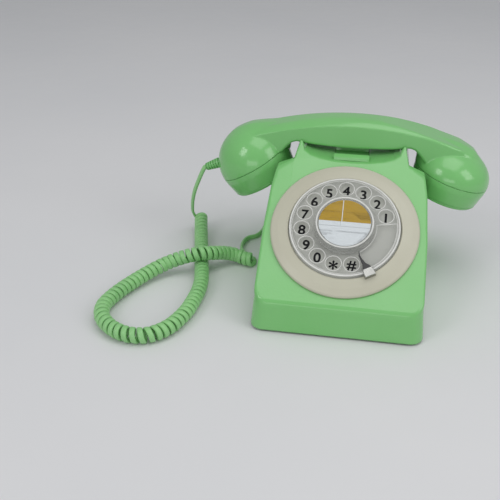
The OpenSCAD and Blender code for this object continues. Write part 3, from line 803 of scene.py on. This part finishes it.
# ---- handset ----
GRIP_UNDER = [
    (6, 106.6), (15, 107), (33, 108), (47, 109.8), (51, 108.6), (55, 104.6), (60, 98), (66, 90), (100, 90)
]
GRIP_MOUTH = [(98, 106), (88, 114.5), (75, 119), (60, 122.8), (42, 126.8), (20, 129.8)]
GRIP_EAR = [(98, 104), (88, 111), (76, 115.6), (64, 119.6), (50, 123.6), (35, 127), (20, 129.6)]
GRIP_MIDDLE = [(0, 130.6), (-50, 130.6), (-50, 106.6)]
ARCH_X, ARCH_Z, ARCH_R, CROWN, CROWN_POWER = 1.3, 126, 267, 4.6, 2.6


def handset_field(x, y, z):
    """The handset without its caps: the grip, and a dome over each end."""
    across, mouth = np.abs(x), x < 0
    half = GRIP_W / 2 - 7 * np.clip((x - 66) / 34, 0, 1) ** 2
    share = np.minimum(np.abs(y - GRIP_Y) / half, 1.2)
    slope = CROWN * CROWN_POWER / half * share ** (CROWN_POWER - 1)
    rise = np.hypot(x - ARCH_X, z - ARCH_Z + ARCH_R) - ARCH_R - CROWN * (1 - share ** CROWN_POWER)
    outline = np.where(
        mouth, soft_outline(across, z, GRIP_UNDER + GRIP_MOUTH + GRIP_MIDDLE, 1.5),
        soft_outline(across, z, GRIP_UNDER + GRIP_EAR + GRIP_MIDDLE, 1.5)
    )
    grip = round_and(outline, np.abs(y - GRIP_Y) - half, 2.2)
    grip = round_and(grip, rise / np.hypot(1, slope), 0.4)
    tilt = np.radians(np.where(mouth, MOUTH_TILT, EAR_TILT))
    out, up = across - END_X, z - END_Z
    height = out * np.sin(tilt) + up * np.cos(tilt)
    radius = np.hypot(out * np.cos(tilt) - up * np.sin(tilt), y - GRIP_Y)
    dome_h = np.where(mouth, DOME_R, EAR_DOME_H)
    reach = np.hypot(radius / DOME_R, height / dome_h)
    steepness = np.hypot(radius / DOME_R ** 2, height / dome_h ** 2)
    dome = reach * (reach - 1) / np.maximum(steepness, 0.001)
    form = round_or(grip, dome, np.interp(y, (25, 37), (0.6, 11)))
    return round_and(form, -np.maximum(radius - DOME_R - 1, height), 0.45)


CAP = [
    (10, -20), (25.7, -20), (28.3, -19), (29.6, -17.1), (29.1, -16.8), (29.1, -16.4), (29.8, -16.1),
    (31.9, -5), (32.3, -0.15), (29.1, -0.15), (28.7, -5), (26.7, -16), (24.7, -17), (10, -17)
]


def handset():
    skin = moulding("handset_skin", handset_field, (-118, 6, 50), (118, 73, 132), 1.0, 0.5)
    add_piece("handset_skin", skin, GREEN, "handset", ("handset_shell",))
    for name, place in (("mouth_cap", MOUTH), ("ear_cap", EAR)):
        turns = np.radians(range(0, 360, 60))
        sound_holes = [circle(1.2, 20, (7 * math.cos(a), 7 * math.sin(a))) for a in turns]
        face = plate("face", [circle(10.02), circle(1.2, 20), *sound_holes], -20, -17, place, 0.1)
        cap = joined(name + "_turned", [lathe("rim", rounded(CAP, 0.35, 3), place), face])
        add_piece(name + "_turned", cap, GREEN, "handset", (name,))


handset()


# ---- dial ----
BEZEL = [
    (51, -3), (53.6, -3), (53.6, 0), (57.8, 0), (57.8, 2), (56.8, 3), (51.6, 4.5), (47, 5.4), (44.4, 5.8),
    (43.6, 5.2), (43.6, 3.2), (51, 0.8)
]
NUMBER_PLATE = [(6.4, 2.6), (43.4, 2.6), (43.4, 4.2), (6.4, 4.2)]
HUB = [
    (21, 10.8), (21.9, 5.4), (23.6, 5.4), (23.4, 7.4), (22.5, 13.4), (22.3, 14), (20.7, 14), (20.6, 12.4),
    (3, 12.3), (3, 10.8)
]
STOP_BLADE = [
    (40.4, 3), (38.6, 2.6), (36, 0.6), (32, -0.3), (28.5, -0.5), (23.8, 0.7), (28.4, -1.8), (32, -1.9),
    (36.2, -2.3), (40.4, -3.8)
]
STOP_Z = 8.6
STOP_FOOT = [(46.6, -4.8), (46.6, 3.8), (41.6, 3.4), (40, 2.9), (40, -3.7), (41.4, -4.3)]


def ring(name, inner, outer, low, high, centre=(0, 0), edge=0.3, steps=96):
    return plate(name, [circle(outer, steps, centre), circle(inner, steps, centre)], low, high, DIAL, edge)


def hole_centres():
    for i in range(12):
        angle = HOLE_START + HOLE_STEP * i
        yield HOLE_RING_R * math.cos(angle), HOLE_RING_R * math.sin(angle)


def blank_sector():
    """Outline of the wheel's blank sector, between the first hole and the finger stop."""
    hub = circle(25, 24, start=math.radians(-56.7), end=math.radians(6.5), closed=False)
    rim = circle(39.8, 30, start=math.radians(7.5), end=math.radians(-54.3), closed=False)
    centre = (HOLE_RING_R * math.cos(math.radians(-37)), HOLE_RING_R * math.sin(math.radians(-37)))
    tail = circle(13, 16, centre, math.radians(-104), math.radians(-175), closed=False)
    return hub + rim + tail[1:-1]


def wheel():
    holes = [circle(HOLE_R, 48, centre) for centre in hole_centres()]
    outlines = [circle(WHEEL_R, 160), circle(22, 96), *holes]
    sheet = plate("finger_wheel_sheet", outlines, WHEEL_Z, WHEEL_TOP, DIAL, 0.45)
    add_piece("finger_wheel_sheet", sheet, CLEAR, "dial_rotor", ("finger_wheel",))
    rims = [ring("rim", HOLE_R + 0.05, HOLE_R + 0.6, 7, 7.9, centre, 0.2, 48) for centre in hole_centres()]
    rims.append(ring("rim", 21, 22.2, 13.6, 14.1, edge=0.2))
    rims.append(ring("rim", 41.4, WHEEL_R, 7, 8, steps=160))
    rims.append(ring("rim", 40.5, 40.9, 7, 7.5, edge=0.15, steps=160))
    sector = blank_sector()
    rims.append(plate("sector", [sector, inward(sector, 0.5)], 7, 7.8, DIAL, 0.2))
    # The rims take the whiter, more opaque clear finish as painted highlight lines
    add_piece("finger_wheel_rims", joined("finger_wheel_rims", rims), CLEAR_RIM_HIGHLIGHT, "dial_rotor")
    hub = lathe("finger_wheel_hub", rounded(HUB, 0.35, 3), DIAL)
    add_piece("finger_wheel_hub", hub, CLEAR_WALL, "dial_rotor")


def numerals():
    """The marks on the number plate, each from four shifted copies that make it bold."""
    height = 4.2
    shifts = ((0.32, 0.14), (-0.32, -0.14), (0.14, -0.32), (-0.14, 0.32))
    on_dial = Matrix.Translation(DIAL.translation * MM) @ DIAL.to_3x3().to_4x4()
    parts = []
    for mark, (x, y) in zip("1234567890*#", hole_centres()):
        text = bpy.data.curves.new(mark, "FONT")
        text.body = mark
        text.size = (16 if mark == "*" else 11.6) * MM
        text.align_x = "CENTER"
        text.align_y = "CENTER"
        text.extrude = 0.04 * MM
        holder = bpy.data.objects.new(mark, text)
        bpy.context.scene.collection.objects.link(holder)
        seen = holder.evaluated_get(bpy.context.evaluated_depsgraph_get())
        data = bpy.data.meshes.new_from_object(seen)
        bpy.data.objects.remove(holder)
        low = min(v.co.y for v in data.vertices)
        high = max(v.co.y for v in data.vertices)
        left = min(v.co.x for v in data.vertices)
        right = max(v.co.x for v in data.vertices)
        for k, (right_by, up_by) in enumerate(shifts):
            copy = data.copy()
            copy.transform(on_dial @ Matrix.Translation((
                (x + right_by) * MM - (left + right) / 2,
                (y + up_by) * MM - (low + high) / 2,
                (height + 0.01 * k) * MM
            )))
            parts.append(copy)
        bpy.data.meshes.remove(data)
    add_piece("numerals", joined("numerals", parts), INK, "base")


def label():
    """A card printed gold above and white below, with plain rules in place of lettering."""
    split, radius = 0.9, 19.9
    rise = math.asin(split / radius)
    low, high = LABEL_Z + 0.02, LABEL_Z + 0.4
    gold = circle(radius, 48, start=rise, end=math.pi - rise, closed=False)
    white = circle(radius, 48, start=math.pi - rise, end=2 * math.pi + rise, closed=False)
    gold_half = plate("label_gold_half", [gold], low, high, DIAL, 0.05)
    add_piece("label_gold_half", gold_half, GOLD, "dial_rotor", ("label_card",))
    white_half = plate("label_white_half", [white], low, high, DIAL, 0.05)
    add_piece("label_white_half", white_half, WHITE, "dial_rotor")

    def rule(x0, y0, x1, y1):
        return plate("rule", [[(x0, y0), (x1, y0), (x1, y1), (x0, y1)]], high - 0.02, high + 0.08, DIAL, 0.02)

    add_piece("label_white_rule", rule(-2.6, split, -2, 19.6), WHITE, "dial_rotor")
    greys = joined("label_grey_rules", [rule(-19.3, -3.4, 19.3, -3.15), rule(-3.2, -3.2, -3, split)])
    add_piece("label_grey_rules", greys, RULE_GREY, "dial_rotor")


def dial():
    bezel = lathe("dial_bezel_turned", rounded(BEZEL, 0.6), DIAL, 200)
    add_piece("dial_bezel_turned", bezel, IVORY, "base", ("dial_bezel",))
    backing = lathe("number_plate_turned", rounded(NUMBER_PLATE, 0.3, 2), DIAL)
    add_piece("number_plate_turned", backing, PLATE_GREY, "base", ("number_plate",))
    wheel()
    numerals()
    label()
    at_stop = DIAL @ Matrix.Rotation(STOP_ANGLE, 4, "Z")
    blade = plate("finger_stop_blade", [STOP_BLADE], STOP_Z, 9.55, at_stop, 0.25)
    top = plate("top", [STOP_FOOT], STOP_Z, 9.6, at_stop, 0.3)
    foot = plate("foot", [[(43.8, -4.8), (46.6, -4.8), (46.6, 3.8), (43.8, 3.8)]], 5.3, 8.9, at_stop, 0.3)
    # The blade is painted dark as shade on the one chrome stop; its top and foot keep the lighter chrome
    add_piece("finger_stop_blade", blade, SHADED_CHROME, "base")
    add_piece("finger_stop_bright", joined("finger_stop_bright", [top, foot]), DULL_CHROME, "base",
              ("finger_stop",))


dial()


# ---- finishes and rounded edges for the CAD nodes that stay ----
def finish_nodes():
    slots = {part["node"]: part["material_slot"] for part in frame["record"]["subparts"]}
    for name, node in frame["nodes"].items():
        material = COVER if name == "label_cover" else FINISHES[slots[name]]
        node.data.materials.clear()
        node.data.materials.append(material)
        edges = node.modifiers.new("rounded_edges", "BEVEL")
        edges.width = 0.35 * MM
        edges.segments = 2
        edges.limit_method = "ANGLE"
        edges.angle_limit = math.radians(40)
        edges.harden_normals = True


finish_nodes()
